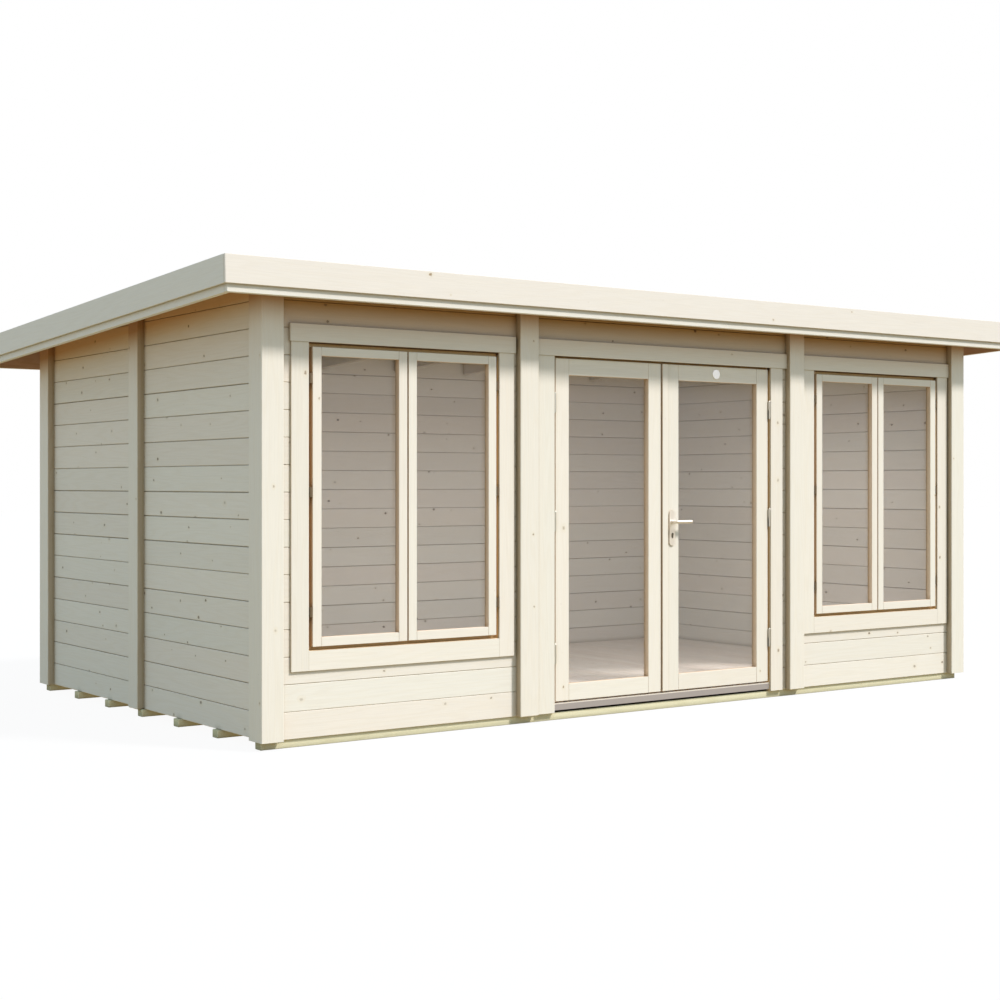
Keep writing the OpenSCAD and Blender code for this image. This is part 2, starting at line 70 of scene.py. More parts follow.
def under_deck(y):
    """The height of the roof boards' underside, which falls evenly from the front to the back."""
    return side_high.z - (y - side_low.y) * roof_fall


def colour(code):
    """The linear colour of an sRGB hex value, with full alpha."""
    srgb = np.array([int(code[k:k + 2], 16) for k in (1, 3, 5)]) / 255
    linear = np.where(srgb <= 0.04045, srgb / 12.92, ((srgb + 0.055) / 1.055) ** 2.4)
    return (*linear, 1.0)


def bare(name):
    """A new material, and its node tree with nothing in it."""
    material = bpy.data.materials.new(name)
    material.use_nodes = True
    material.node_tree.nodes.clear()
    return material, material.node_tree


def add(tree, kind, sockets=None, **settings):
    """Adds a node, sets its properties, and fills its sockets with values or links."""
    node = tree.nodes.new(kind)
    for key, value in settings.items():
        setattr(node, key, value)
    for key, value in (sockets or {}).items():
        if isinstance(value, bpy.types.NodeSocket):
            tree.links.new(value, node.inputs[key])
        else:
            node.inputs[key].default_value = value
    return node


def knots(tree, grain, knottiness):
    """Rough ellipses about the middles of long cells of the map `grain`, in the share `knottiness` of
    them. The distance from the middle, shortened along the grain and made ragged by a noise, is
    divided by the knot's radius. Gives the dark heart, and a halo four radii wide."""
    cell = np.array([0.36, 0.085, 1.0])
    shorten = cell * [0.75, 1, 0]
    cells = add(tree, "ShaderNodeVectorMath", {0: grain, 1: tuple(1 / cell)},
                operation="MULTIPLY").outputs[0]
    places = add(tree, "ShaderNodeTexVoronoi", {"Vector": cells, "Scale": 1.0, "Randomness": 0.95},
                 voronoi_dimensions="2D").outputs
    away = add(tree, "ShaderNodeVectorMath", {0: cells, 1: places["Position"]},
               operation="SUBTRACT").outputs[0]
    away = add(tree, "ShaderNodeVectorMath", {0: away, 1: tuple(shorten)}, operation="MULTIPLY").outputs[0]
    away = add(tree, "ShaderNodeVectorMath", {0: away}, operation="LENGTH").outputs["Value"]
    draw = add(tree, "ShaderNodeSeparateColor", {0: places["Color"]}).outputs
    there = add(tree, "ShaderNodeMath", {0: draw[1], 1: knottiness}, operation="LESS_THAN").outputs[0]
    radius = add(tree, "ShaderNodeMapRange", {0: draw[0], 3: 0.0025, 4: 0.008}).outputs[0]
    radius = add(tree, "ShaderNodeMath", {0: radius, 1: there, 2: 1e-5}, operation="MULTIPLY_ADD").outputs[0]
    ragged = add(tree, "ShaderNodeTexNoise", {"Vector": grain, "Scale": 120.0, "Detail": 2.0},
                 noise_dimensions="2D").outputs[0]
    away = add(tree, "ShaderNodeMath", {0: ragged, 1: 0.009, 2: away}, operation="MULTIPLY_ADD").outputs[0]
    away = add(tree, "ShaderNodeMath", {0: away, 1: 0.0045}, operation="SUBTRACT", use_clamp=True).outputs[0]
    share = add(tree, "ShaderNodeMath", {0: away, 1: radius}, operation="DIVIDE").outputs[0]
    strength = add(tree, "ShaderNodeMapRange", {0: draw[2], 3: 0.3, 4: 0.95}).outputs[0]
    heart = add(tree, "ShaderNodeMapRange", {0: share, 1: 0.6, 2: 1.4, 3: strength, 4: 0.0},
                interpolation_type="SMOOTHSTEP").outputs[0]
    halo = add(tree, "ShaderNodeMapRange", {0: share, 1: 0.8, 2: 4.0, 3: 1.0, 4: 0.0},
               interpolation_type="SMOOTHSTEP").outputs[0]
    return heart, halo


def growth_lines(tree, grain, halo, figure):
    """Growth lines and fibres. The lines are the sine of a noise that is stretched along the grain,
    and a knot's halo lifts the noise, so that they close round it. They lie some 10 mm apart, two or
    three times their real spacing, because finer lines would not show."""
    slow = add(tree, "ShaderNodeVectorMath", {0: grain, 1: (0.5, 7.0, 1.0)}, operation="MULTIPLY").outputs[0]
    field = add(tree, "ShaderNodeTexNoise", {"Vector": slow, "Scale": 1.0, "Detail": 2.0, "Roughness": 0.45},
                noise_dimensions="2D").outputs[0]
    field = add(tree, "ShaderNodeMath", {0: halo, 1: 0.09, 2: field}, operation="MULTIPLY_ADD").outputs[0]
    lines = add(tree, "ShaderNodeMath", {0: field, 1: 75.0}, operation="MULTIPLY").outputs[0]
    lines = add(tree, "ShaderNodeMath", {0: lines}, operation="SINE").outputs[0]
    lines = add(tree, "ShaderNodeMapRange", {0: lines, 1: -0.2, 2: 1.0, 3: 0.0, 4: figure},
                interpolation_type="SMOOTHSTEP").outputs[0]
    fine = add(tree, "ShaderNodeVectorMath", {0: grain, 1: (5.0, 260.0, 1.0)},
               operation="MULTIPLY").outputs[0]
    fibre = add(tree, "ShaderNodeTexNoise", {"Vector": fine, "Scale": 1.0, "Detail": 3.0, "Roughness": 0.6},
                noise_dimensions="2D").outputs[0]
    return lines, fibre


def painted_eave_shade(tree, place, eaves):
    """How strongly painted shade and warm bounce light from the roof tint wood outside the room. The
    depth below the roof boards' plane is mapped from 0 at eaves[0] to 1 at eaves[1], squared, and
    cut to 0 inside the box of the room."""
    depth = add(tree, "ShaderNodeVectorMath", {0: place, 1: (0, -roof_fall, -1)},
                operation="DOT_PRODUCT").outputs["Value"]
    depth = add(tree, "ShaderNodeMath", {0: depth, 1: under_deck(0)}, operation="ADD").outputs[0]
    near = add(tree, "ShaderNodeMapRange", {0: depth, 1: eaves[0], 2: eaves[1], 3: 0.0, 4: 1.0}).outputs[0]
    near = add(tree, "ShaderNodeMath", {0: near, 1: 2.0}, operation="POWER").outputs[0]
    off = add(tree, "ShaderNodeVectorMath", {0: place, 1: tuple(room_middle)},
              operation="SUBTRACT").outputs[0]
    off = add(tree, "ShaderNodeVectorMath", {0: off}, operation="ABSOLUTE").outputs[0]
    off = add(tree, "ShaderNodeVectorMath", {0: off, 1: tuple(room_half)}, operation="SUBTRACT").outputs[0]
    off = add(tree, "ShaderNodeSeparateXYZ", {0: off}).outputs
    off = add(tree, "ShaderNodeMath", {0: off[0], 1: off[1]}, operation="MAXIMUM").outputs[0]
    outside = add(tree, "ShaderNodeMath", {0: off, 1: 0.0}, operation="GREATER_THAN").outputs[0]
    return add(tree, "ShaderNodeMath", {0: near, 1: outside}, operation="MULTIPLY").outputs[0]


def softwood(name, early, late, knot, roughness=0.62, figure=0.25, knottiness=0.3, tone_range=0.06,
             nook="#aa9a78", eaves=(0.245, 0.095), glow="#ecc69a", edge=None):
    """Planed or sawn conifer wood: pale early wood, darker late wood in lines, and knots, on the map
    "grain" that runs along each timber in metres. Each timber is a shade darker by its own tone and
    leans to pink or to green. Three tints multiply the colour, and all three are painted light: `glow`
    is painted shade and warm bounce light near the roof boards, `edge` is painted shade on faces that
    look up, down or sideways, and `nook` is painted shade in narrow gaps."""
    material, tree = bare(name)
    grain = add(tree, "ShaderNodeUVMap", uv_map="grain").outputs[0]
    tone = add(tree, "ShaderNodeAttribute", attribute_name="tone").outputs["Fac"]
    coordinates = add(tree, "ShaderNodeTexCoord").outputs
    heart, halo = knots(tree, grain, knottiness)
    lines, fibre = growth_lines(tree, grain, halo, figure)

    # The lines, then the timber's own tone and its fibres, which both only change the lightness.
    body = add(tree, "ShaderNodeMix", {0: lines, 6: colour(early), 7: colour(late)},
               data_type="RGBA").outputs[2]
    shade = add(tree, "ShaderNodeMapRange", {0: tone, 3: 1.0 - tone_range, 4: 1.0}).outputs[0]
    threads = add(tree, "ShaderNodeMapRange", {0: fibre, 1: 0.3, 2: 0.7, 3: 0.965, 4: 1.015}).outputs[0]
    shade = add(tree, "ShaderNodeMath", {0: shade, 1: threads}, operation="MULTIPLY").outputs[0]
    body = add(tree, "ShaderNodeVectorMath", {0: body, "Scale": shade}, operation="SCALE").outputs[0]

    # The lean to pink or to green, and the knots with the dark wood round them.
    lean = add(tree, "ShaderNodeMath", {0: tone, 1: 7.0}, operation="MULTIPLY").outputs[0]
    lean = add(tree, "ShaderNodeMath", {0: lean}, operation="FRACT").outputs[0]
    lean = add(tree, "ShaderNodeMix", {0: lean, 6: (1.01, 0.983, 0.98, 1), 7: (0.985, 0.995, 1.0, 1)},
               data_type="RGBA").outputs[2]
    body = add(tree, "ShaderNodeVectorMath", {0: body, 1: lean}, operation="MULTIPLY").outputs[0]
    ring_dark = add(tree, "ShaderNodeMath", {0: halo, 1: 0.35}, operation="MULTIPLY").outputs[0]
    body = add(tree, "ShaderNodeMix", {0: ring_dark, 6: body, 7: colour(late)}, data_type="RGBA").outputs[2]
    body = add(tree, "ShaderNodeMix", {0: heart, 6: body, 7: colour(knot)}, data_type="RGBA").outputs[2]

    # Painted light from what lies round the timber: shade and warm light from the roof, shade by the way its
    # faces look, and shade in narrow gaps.
    tints = []
    if eaves:
        tints.append((painted_eave_shade(tree, coordinates["Object"], eaves), glow))
    if edge:
        facing = add(tree, "ShaderNodeSeparateXYZ", {0: coordinates["Normal"]}).outputs[1]
        facing = add(tree, "ShaderNodeMath", {0: facing}, operation="ABSOLUTE").outputs[0]
        sideways = add(tree, "ShaderNodeMath", {0: facing, 1: 0.5}, operation="LESS_THAN").outputs[0]
        tints.append((sideways, edge))
    open_share = add(tree, "ShaderNodeAmbientOcclusion", {"Distance": nook_reach}, samples=2).outputs["AO"]
    gap_shade_share = add(tree, "ShaderNodeMapRange", {0: open_share, 1: 0.8, 2: 0.15, 3: 0.0, 4: 1.0}).outputs[0]
    tints.append((gap_shade_share, nook))
    for share, tint in tints:
        body = add(tree, "ShaderNodeMix", {0: share, 6: body, 7: colour(tint)}, data_type="RGBA",
                   blend_type="MULTIPLY").outputs[2]

    height = add(tree, "ShaderNodeMath", {0: lines, 1: fibre}, operation="ADD").outputs[0]
    bump = add(tree, "ShaderNodeBump", {"Strength": 0.25, "Distance": 0.0008, "Height": height}).outputs[0]
    shader = add(tree, "ShaderNodeBsdfPrincipled",
                 {"Base Color": body, "Roughness": roughness, "Normal": bump})
    add(tree, "ShaderNodeOutputMaterial", {"Surface": shader.outputs[0]})
    return material


def rounded_section(width, thickness, radius=arris, steps=3):
    """The outline of a squared timber: a rectangle about the origin, each corner a quarter circle."""
    turn = np.linspace(0, math.pi / 2, steps + 1)
    corner = np.arange(4)[:, None]
    sign = np.array([[1, 1], [-1, 1], [-1, -1], [1, -1]])[:, None]
    angle = turn + corner * math.pi / 2
    middle = sign * (np.array([width, thickness]) / 2 - radius)
    return (middle + radius * np.stack([np.cos(angle), np.sin(angle)], -1)).reshape(-1, 2)


def carried(sections, along, origin, e0, e1, e2):
    """One closed bar: a section, or one for each station, is carried along a straight line. A point is
    origin + along e0 + across e1 + through e2. Its grain map holds the way along and the way round."""
    sections = np.broadcast_to(sections, (len(along), *np.shape(sections)[-2:]))
    stations, sides = sections.shape[:2]
    along = np.asarray(along, float)
    points = np.asarray(origin) + along[:, None, None] * e0 + sections[..., :1] * e1 + sections[..., 1:] * e2
    side, station = np.meshgrid(np.arange(sides), np.arange(stations - 1))
    ways = [(0, 0), (1, 0), (1, 1), (0, 1)]
    quads = np.stack([(side + a) % sides + (station + b) * sides for a, b in ways], -1)
    edges = np.linalg.norm(np.roll(sections[0], -1, 0) - sections[0], axis=1)
    way_round = np.concatenate([[0], np.cumsum(edges)])
    maps = np.stack([np.stack([along[station + b], way_round[side + a]], -1) for a, b in ways], -2)
    ends = np.stack([np.arange(sides)[::-1], (stations - 1) * sides + np.arange(sides)])
    end_maps = np.stack([sections[0][::-1], sections[-1]])
    if np.dot(np.cross(e0, e1), e2) < 0:
        quads, maps, ends, end_maps = quads[..., ::-1], maps[..., ::-1, :], ends[:, ::-1], end_maps[:, ::-1]
    shift = chance.uniform(0, 30, 2)
    return {"points": points.reshape(-1, 3), "quads": quads.reshape(-1, 4), "ends": ends,
            "maps": maps.reshape(-1, 2) + shift, "end_maps": end_maps.reshape(-1, 2) + shift,
            "tone": chance.random()}


def timber(low, high, grain, radius=arris):
    """A squared timber that fills the box from low to high, with its length on the axis `grain`. Both
    ends draw in by the arris, so that every edge is eased."""
    low, high = np.asarray(low, float), np.asarray(high, float)
    e0, e1, e2 = axes[grain], axes[(grain + 1) % 3], axes[(grain + 2) % 3]
    size = high - low
    width, thickness, length = size @ e1, size @ e2, size @ e0
    section = rounded_section(width, thickness, radius)
    drawn_in = section * (1 - 2 * radius / np.array([width, thickness]))
    middle = (low + high) / 2 - e0 * length / 2
    return carried(np.stack([drawn_in, section, section, drawn_in]),
                   [0, radius, length - radius, length], middle, e0, e1, e2)


def joined(name, bars, finish, node, body="cabin", end_finish=None):
    """One piece made of closed bars, which stands for a CAD node, if one is named, and rides on a
    body. The bars' ends and the faces marked "sawn" take the end finish."""
    first = np.cumsum([0] + [len(b["points"]) for b in bars])
    corners, maps, sizes, slots = [], [], [], []
    for start, b in zip(first, bars):
        corners += [b["quads"].ravel() + start, b["ends"].ravel() + start]
        maps += [b["maps"], b["end_maps"]]
        sizes += [np.full(len(b["quads"]), 4), np.full(2, b["ends"].shape[1])]
        slots += [b.get("sawn", np.zeros(len(b["quads"]), int)), np.full(2, b.get("sawn_ends", 1))]
    corners, sizes = np.concatenate(corners), np.concatenate(sizes)
    mesh = bpy.data.meshes.new(name)
    mesh.vertices.add(first[-1])
    mesh.vertices.foreach_set("co", np.concatenate([b["points"] for b in bars]).ravel())
    mesh.loops.add(len(corners))
    mesh.loops.foreach_set("vertex_index", corners)
    mesh.polygons.add(len(sizes))
    mesh.polygons.foreach_set("loop_start", np.cumsum(sizes) - sizes)
    mesh.update(calc_edges=True)
    mesh.shade_flat()
    grain_map = mesh.uv_layers.new(name="grain")
    grain_map.uv.foreach_set("vector", np.concatenate(maps).ravel())
    tones = mesh.attributes.new("tone", "FLOAT", "POINT")
    tones.data.foreach_set("value", np.repeat([b["tone"] for b in bars], np.diff(first)))
    mesh.materials.append(finish)
    if end_finish:
        mesh.materials.append(end_finish)
        mesh.polygons.foreach_set("material_index", np.concatenate(slots))
    piece = bpy.data.objects.new(name, mesh)
    bpy.context.collection.objects.link(piece)
    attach(piece, body)
    if node:
        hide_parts(node)
    return piece


# Sawn, and soaked in a copper salt, which leaves it a pale and dull yellow-green. It has clear lines.
# Its top and ends are drawn greyer than its sides, and its narrow gaps much darker: both painted shade.
treated_pine = softwood("pressure_treated_pine", "#fdf6d2", "#ece4b8", "#8f8a64", 0.8, 0.3, 0.35, 0.06,
                        nook="#5f5640", eaves=None, edge="#e4e6de")

low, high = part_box("bearers")
bearer_w, bearer_count = 0.060, 7
steps = np.linspace(low.y, high.y - bearer_w, bearer_count)
joined("treated_bearers", [timber((low.x, y, low.z), (high.x, y + bearer_w, high.z), 0) for y in steps],
       treated_pine, "bearers")


# Floor
# Planed spruce boards laid from front to back across the bearers, tongued
# together. They show as a pale strip low in the door panes.

board_gap = 0.002
floor_board_w = 0.096


def tongued_section(low, high, thickness, bevel=0.0028, tongue=0.008):
    """The section of a tongued board for each pair of heights: flat faces with a bevel at each
    edge, so that two boards meet in a V, a tongue on the upper edge and its groove on the lower."""
    low, high = np.broadcast_arrays(np.atleast_1d(low), np.atleast_1d(high))
    near, far = thickness / 2 - thickness / 7, thickness / 2 + thickness / 7
    across = [low + bevel, high - bevel, high, high, high + tongue, high + tongue, high, high,
              high - bevel, low + bevel, low, low, low + tongue, low + tongue, low, low]
    through = [0, 0, bevel, near, near, far, far, thickness - bevel,
               thickness, thickness, thickness - bevel, far, far, near, near, bevel]
    across = np.stack(across, -1)
    return np.stack([across, np.broadcast_to(through, across.shape)], -1)


# Planed and left raw: pale and smooth, with a clear figure and brown knots.
floor_spruce = softwood("spruce_floorboards", "#fbf0e4", "#ead9c0", "#8a6544", 0.55, 0.4, 0.35, 0.08)
low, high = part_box("floor")
edges = np.arange(low.x, high.x, floor_board_w)
floor_bars = [carried(tongued_section(x, min(x + floor_board_w, high.x) - board_gap, high.z - low.z, 0.001),
                      [low.y, high.y], (0, 0, high.z), Y, X, -Z) for x in edges]
joined("floor_boards", floor_bars, floor_spruce, "floor")


# Walls
# Spruce boards 135 mm wide, planed and tongued, with a V joint on both faces.
# They run level round the cabin, so that the joints of all walls line up, and
# are cut off under the roof boards.

pitch_up = 0.135
wall_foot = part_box("left_wall")[0].z
open_joint, tight_joint = (0.0014, 0.0034), (0.0004, 0.0014)
least_board_h, least_end_h = 0.01, 0.004
post_w = 0.122
post_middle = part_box("back_posts")[1].x - post_w / 2
side_middle = sum(c.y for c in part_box("side_posts")) / 2


def deck_meets(z):
    """The place from front to back where the roof boards' underside has the height z."""
    return side_low.y + (side_high.z - z) / roof_fall


def hole_of(node):
    """The gap that a window or door frame leaves in the boards."""
    low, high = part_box(node)
    return {"sides": (low.x, high.x), "foot": low.z, "head": high.z}


def boards(node, cuts=(), hole=None, joint=open_joint):
    """The boards of one wall, bay by bay between the cuts, each shrunk from its joint by a random
    width. In the band of a hole a board stops at its sides, and where the hole's edge lies within a
    board, the board is notched to it. Points above the roof boards' underside come down to it."""
    low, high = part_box(node)
    lengthwise = 0 if high.x - low.x > high.y - low.y else 1
    e0 = (X, Y)[lengthwise]
    depth = 1 - lengthwise
    thickness = abs(high[depth] - low[depth])
    outer_is_low = low[depth] + high[depth] < 0
    face = np.zeros(3)
    face[depth] = low[depth] if outer_is_low else high[depth]
    e2 = (X, Y)[depth] * (1 if outer_is_low else -1)
    stops = [low[lengthwise], *cuts, high[lengthwise]]
    made = []
    for course in range(int((high.z - wall_foot) / pitch_up) + 1):
        foot = max(wall_foot + course * pitch_up, low.z)
        head = min(wall_foot + (course + 1) * pitch_up, high.z) - chance.uniform(*joint)
        if head - foot < least_board_h:
            continue
        for start, end in zip(stops[:-1], stops[1:]):
            at, feet, heads = np.array([start, end]), foot, head
            if lengthwise == 1:
                end = min(end, deck_meets(foot + least_end_h))
                crossing = deck_meets(head)
                at = np.array([start, crossing, end] if start < crossing < end else [start, end])
            if hole and hole["foot"] < head and hole["head"] > foot:
                left, right = hole["sides"]
                inside_foot, inside_head = hole["foot"] > foot, hole["head"] < head
                if not inside_foot and not inside_head:
                    made += [carried(tongued_section([foot] * 2, head, thickness), np.array(part),
                                     face, e0, Z, e2) for part in ((start, left), (right, end))]
                    continue
                at = np.array([start, left, left, right, right, end])
                middle = np.array([0, 0, 1, 1, 0, 0])
                heads = np.where(middle * inside_foot, hole["foot"], head)
                feet = np.where(middle * inside_head, hole["head"], foot)
            feet = np.broadcast_to(feet, at.shape)
            made.append(carried(tongued_section(feet, heads, thickness), at, face, e0, Z, e2))
    for bar in made:
        bar["points"][:, 2] = np.minimum(bar["points"][:, 2], under_deck(bar["points"][:, 1]))
    return made


# Planed and left raw: cream, with a faint figure and small dark knots, and painted brown shade under
# the eaves. The front's boards lie under the deepest eaves, so their painted shade and brown bounce
# light reach further down.
wall_spruce = softwood("planed_spruce_boards", "#f6f0e4", "#ebdfc8", "#74624b", 0.62, 0.13, 0.45, 0.05)
front_spruce = softwood("planed_spruce_front_boards", "#f6f0e4", "#ebdfc8", "#7d6a52", 0.62, 0.13, 0.3, 0.05,
                        eaves=(0.37, 0.14), glow="#c6a272")
for name, frame_node in (("left", "left_window_frame"), ("right", "right_window_frame"),
                         ("beside_door", "door_frame")):
    joined(f"front_boards_{name}", boards(f"front_wall_{name}", hole=hole_of(frame_node), joint=tight_joint),
           front_spruce, f"front_wall_{name}")
joined("front_boards_over_door", boards("front_wall_over_door"), front_spruce, "front_wall_over_door")
joined("left_side_boards", boards("left_wall", [side_middle]), wall_spruce, "left_wall")
joined("right_side_boards", boards("right_wall", [side_middle]), wall_spruce, "right_wall")
joined("back_boards", boards("back_wall", [-post_middle, post_middle]), wall_spruce, "back_wall")


# Posts
# Thick planed planks that cover the ends of the boards: an angled post at each
# corner and flat ones between. Screwed on from outside, with eased edges.

# The faces are planed and pale, with painted brown shade just under the eaves. The narrow faces are drawn
# darker, dull and brown: painted shade.
post_spruce = softwood("planed_spruce_posts", "#f6f0e3", "#ecdfc4", "#94795a", 0.6, 0.1, 0.14, 0.04,
                       eaves=(0.28, 0.12), glow="#cfa684")
shaded_edge_spruce = softwood("spruce_edges_with_painted_shade", "#c6b79f", "#b5a184", "#7d6a52", 0.75, 0.3, 0.1, 0.08)
post_arris = 0.004


def shaded_narrow_faces(bar, section, thickness):
    """Marks the narrow faces of a plank, which take the darker finish of painted shade: the sides of
    its section that are longer than the arris and no longer than the thickness."""
    length = np.linalg.norm(np.roll(section, -1, 0) - section, axis=1)
    narrow = (length > 0.5 * thickness) & (length < thickness)
    bar["sawn"] = np.tile(narrow.astype(int), len(bar["quads"]) // len(narrow))
    return bar


def angled_section(width, side_width, thickness, radius=post_arris, steps=3):
    """The section of a corner post: an L with its outer corner at the origin, its legs along +across
    and +through, and each of its five outward corners a quarter circle."""
    turn = np.linspace(0, math.pi / 2, steps + 1)

    def corner(x, y, quarter):
        angle = turn + quarter * math.pi / 2
        diagonal = (quarter + 0.5) * math.pi / 2
        inward = -math.sqrt(2) * np.array([math.cos(diagonal), math.sin(diagonal)])
        return np.array([x, y]) + radius * (inward + np.stack([np.cos(angle), np.sin(angle)], -1))

    return np.concatenate([corner(0, 0, 2), corner(width, 0, 3), corner(width, thickness, 0),
                           [[thickness, thickness]], corner(thickness, side_width, 0),
                           corner(0, side_width, 1)])


post_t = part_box("front_posts")[1].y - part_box("front_posts")[0].y
for node in [f"{end}_{side}_corner_post" for end in ("front", "back") for side in ("left", "right")]:
    low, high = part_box(node)
    inward_x, inward_y = (1, -1)[low.x > 0], (1, -1)[low.y > 0]
    corner = (low.x if inward_x > 0 else high.x, low.y if inward_y > 0 else high.y, 0)
    section = angled_section(high.x - low.x, high.y - low.y, post_t)
    bar = carried(section, [low.z, high.z], corner, Z, X * inward_x, Y * inward_y)
    bar = shaded_narrow_faces(bar, section, post_t)
    bar["points"][:, 2] = np.minimum(bar["points"][:, 2], under_deck(bar["points"][:, 1]))
    joined("planed_" + node, [bar], post_spruce, node, end_finish=shaded_edge_spruce)

for node, grain_x in (("front_posts", True), ("back_posts", True), ("side_posts", False)):
    low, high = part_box(node)
    size = (post_w, high.y - low.y) if grain_x else (post_t, post_w)
    bars = [shaded_narrow_faces(timber((x, low.y, low.z), (x + size[0], low.y + size[1], high.z), 2, post_arris),
                       rounded_section(*size, post_arris), post_t) for x in (low.x, high.x - size[0])]
    joined("planed_" + node, bars, post_spruce, node, end_finish=shaded_edge_spruce)


# Windows
# Each window is a spruce frame with two glazed sashes side by side, trimmed
# with flat boards outside. The sashes hang on small barrel hinges.

# Planed boards left raw, like the posts: pale, with a faint figure, and painted brown shade just under the
# eaves.
trim_spruce = softwood("planed_spruce_trim", "#f6f0e3", "#ecdfc5", "#94795a", 0.6, 0.1, 0.12, 0.04,
                       eaves=(0.34, 0.14), glow="#cfa684")
# Planed, and set back in the wall, with clear lines. Its honey yellow is painted warm light that stands
# for its faces lighting one another. Its head lies in the shade of the eaves, and painted shade makes it
# dark.
frame_spruce = softwood("planed_spruce_frames", "#f6dcae", "#e4c592", "#8a6a48", 0.6, 0.4, 0.2, 0.06,
                        nook="#f2deb8", eaves=(0.42, 0.34), glow="#6c5e54")
# Picked wood, planed smooth: the palest, with hardly a knot and a slight sheen. Its narrow faces are drawn
# warmer, painted shade from the gaps they face.
sash_spruce = softwood("planed_spruce_sashes", "#f7f1e4", "#ede2c8", "#a08566", 0.55, 0.09, 0.05, 0.03,
                       nook="#b29c76", edge="#fff0e2")
trim_w, trim_t, head_trim_h, head_trim_out = 0.098, 0.012, 0.088, 0.008
frame_bar_w, stop_w, stop_d = 0.038, 0.030, 0.020
groove, sash_gap, member_gap = 0.008, 0.008, 0.0004
trim_arris, bar_arris = 0.001, 0.0015


def glazed(low, high, glass_low, glass_high):
    """Two stiles over the whole height and two rails between them, round a pane whose edges lie in
    a groove. Where a rail meets a stile, the eased edges leave a fine line."""
    left, right = glass_low[0] + groove, glass_high[0] - groove
    foot, head = glass_low[2] + groove, glass_high[2] - groove
    return [timber(low, (left, high[1], high[2]), 2, bar_arris),
            timber((right, low[1], low[2]), high, 2, bar_arris),
            timber((left + member_gap, low[1], low[2]), (right - member_gap, high[1], foot), 0, bar_arris),
            timber((left + member_gap, low[1], head), (right - member_gap, high[1], high[2]), 0, bar_arris)]


def jambs(low, high, bar_w, stop_foot):
    """The two upright bars of a frame, each with the stop that stands against its inner side, from
    the height stop_foot up to the frame's head."""
    bars = []
    for bar_x, stop_x in ((low.x, low.x + bar_w), (high.x - bar_w, high.x - bar_w - stop_w)):
        bars.append(timber((bar_x, low.y, low.z), (bar_x + bar_w, high.y, high.z), 2, bar_arris))
        bars.append(timber((stop_x, high.y - stop_d, stop_foot), (stop_x + stop_w, high.y, high.z - bar_w),
                           2, bar_arris))
    return bars


def crossbar(low, high, bar_w, bar_z, stop_z):
    """A level bar of a frame, which lies between its jambs at the height bar_z, and its stop, which
    lies between their stops at the height stop_z."""
    return [timber((low.x + bar_w, low.y, bar_z), (high.x - bar_w, high.y, bar_z + bar_w), 0, bar_arris),
            timber((low.x + bar_w + stop_w, high.y - stop_d, stop_z),
                   (high.x - bar_w - stop_w, high.y, stop_z + stop_w), 0, bar_arris)]


for side in ("left", "right"):
    low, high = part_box(f"{side}_window_trim")
    head = high.z - head_trim_h
    trim_half = (high.x - low.x) / 2 - trim_w - head_trim_out
    middle = (low.x + high.x) / 2
    trims = [timber((low.x, low.y, head), high, 0, trim_arris)]
    for x in (middle - trim_half - trim_w, middle + trim_half):
        trims.append(timber((x, high.y - trim_t, low.z), (x + trim_w, high.y, head), 2, trim_arris))
    trims.append(timber((middle - trim_half, high.y - trim_t, low.z),
                        (middle + trim_half, high.y, low.z + trim_w), 0, trim_arris))
    joined(f"{side}_window_trim_boards", trims, trim_spruce, f"{side}_window_trim")

    low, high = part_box(f"{side}_window_frame")
    bars = jambs(low, high, frame_bar_w, low.z + frame_bar_w)
    bars += crossbar(low, high, frame_bar_w, low.z, low.z + frame_bar_w)
    bars += crossbar(low, high, frame_bar_w, high.z - frame_bar_w, high.z - frame_bar_w - stop_w)
    joined(f"{side}_window_frame_bars", bars, frame_spruce, f"{side}_window_frame")

    low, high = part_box(f"{side}_window_sashes")
    glass_low, glass_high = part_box(f"{side}_window_glass")
    sash_w = (high.x - low.x - sash_gap) / 2
    pane_w = sash_w - 2 * (glass_low.x - low.x)
    bars = []
    for x in (low.x, high.x - sash_w):
        pane_x = x + glass_low.x - low.x
        bars += glazed((x, low.y, low.z), (x + sash_w, high.y, high.z),
                       (pane_x, glass_low.y, glass_low.z), (pane_x + pane_w, glass_high.y, glass_high.z))
    joined(f"{side}_glazed_sashes", bars, sash_spruce, f"{side}_window_sashes")


def finish(node, material):
    """Gives a CAD node, which keeps its own mesh, its real material."""
    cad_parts[node].data.materials.clear()
    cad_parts[node].data.materials.append(material)


# Float glass: clear, faintly grey, and glossy. It hazes what lies behind it a little, and the sun goes
# through it.
pane, tree = bare("float_glass")
shader = add(tree, "ShaderNodeBsdfPrincipled", {"Base Color": colour("#8f96a2"), "Roughness": 0.03,
                                                "Alpha": 0.15, "IOR": 1.5})
add(tree, "ShaderNodeOutputMaterial", {"Surface": shader.outputs[0]})
for node in ("left_window_glass", "right_window_glass", "left_door_glass", "right_door_glass"):
    finish(node, pane)


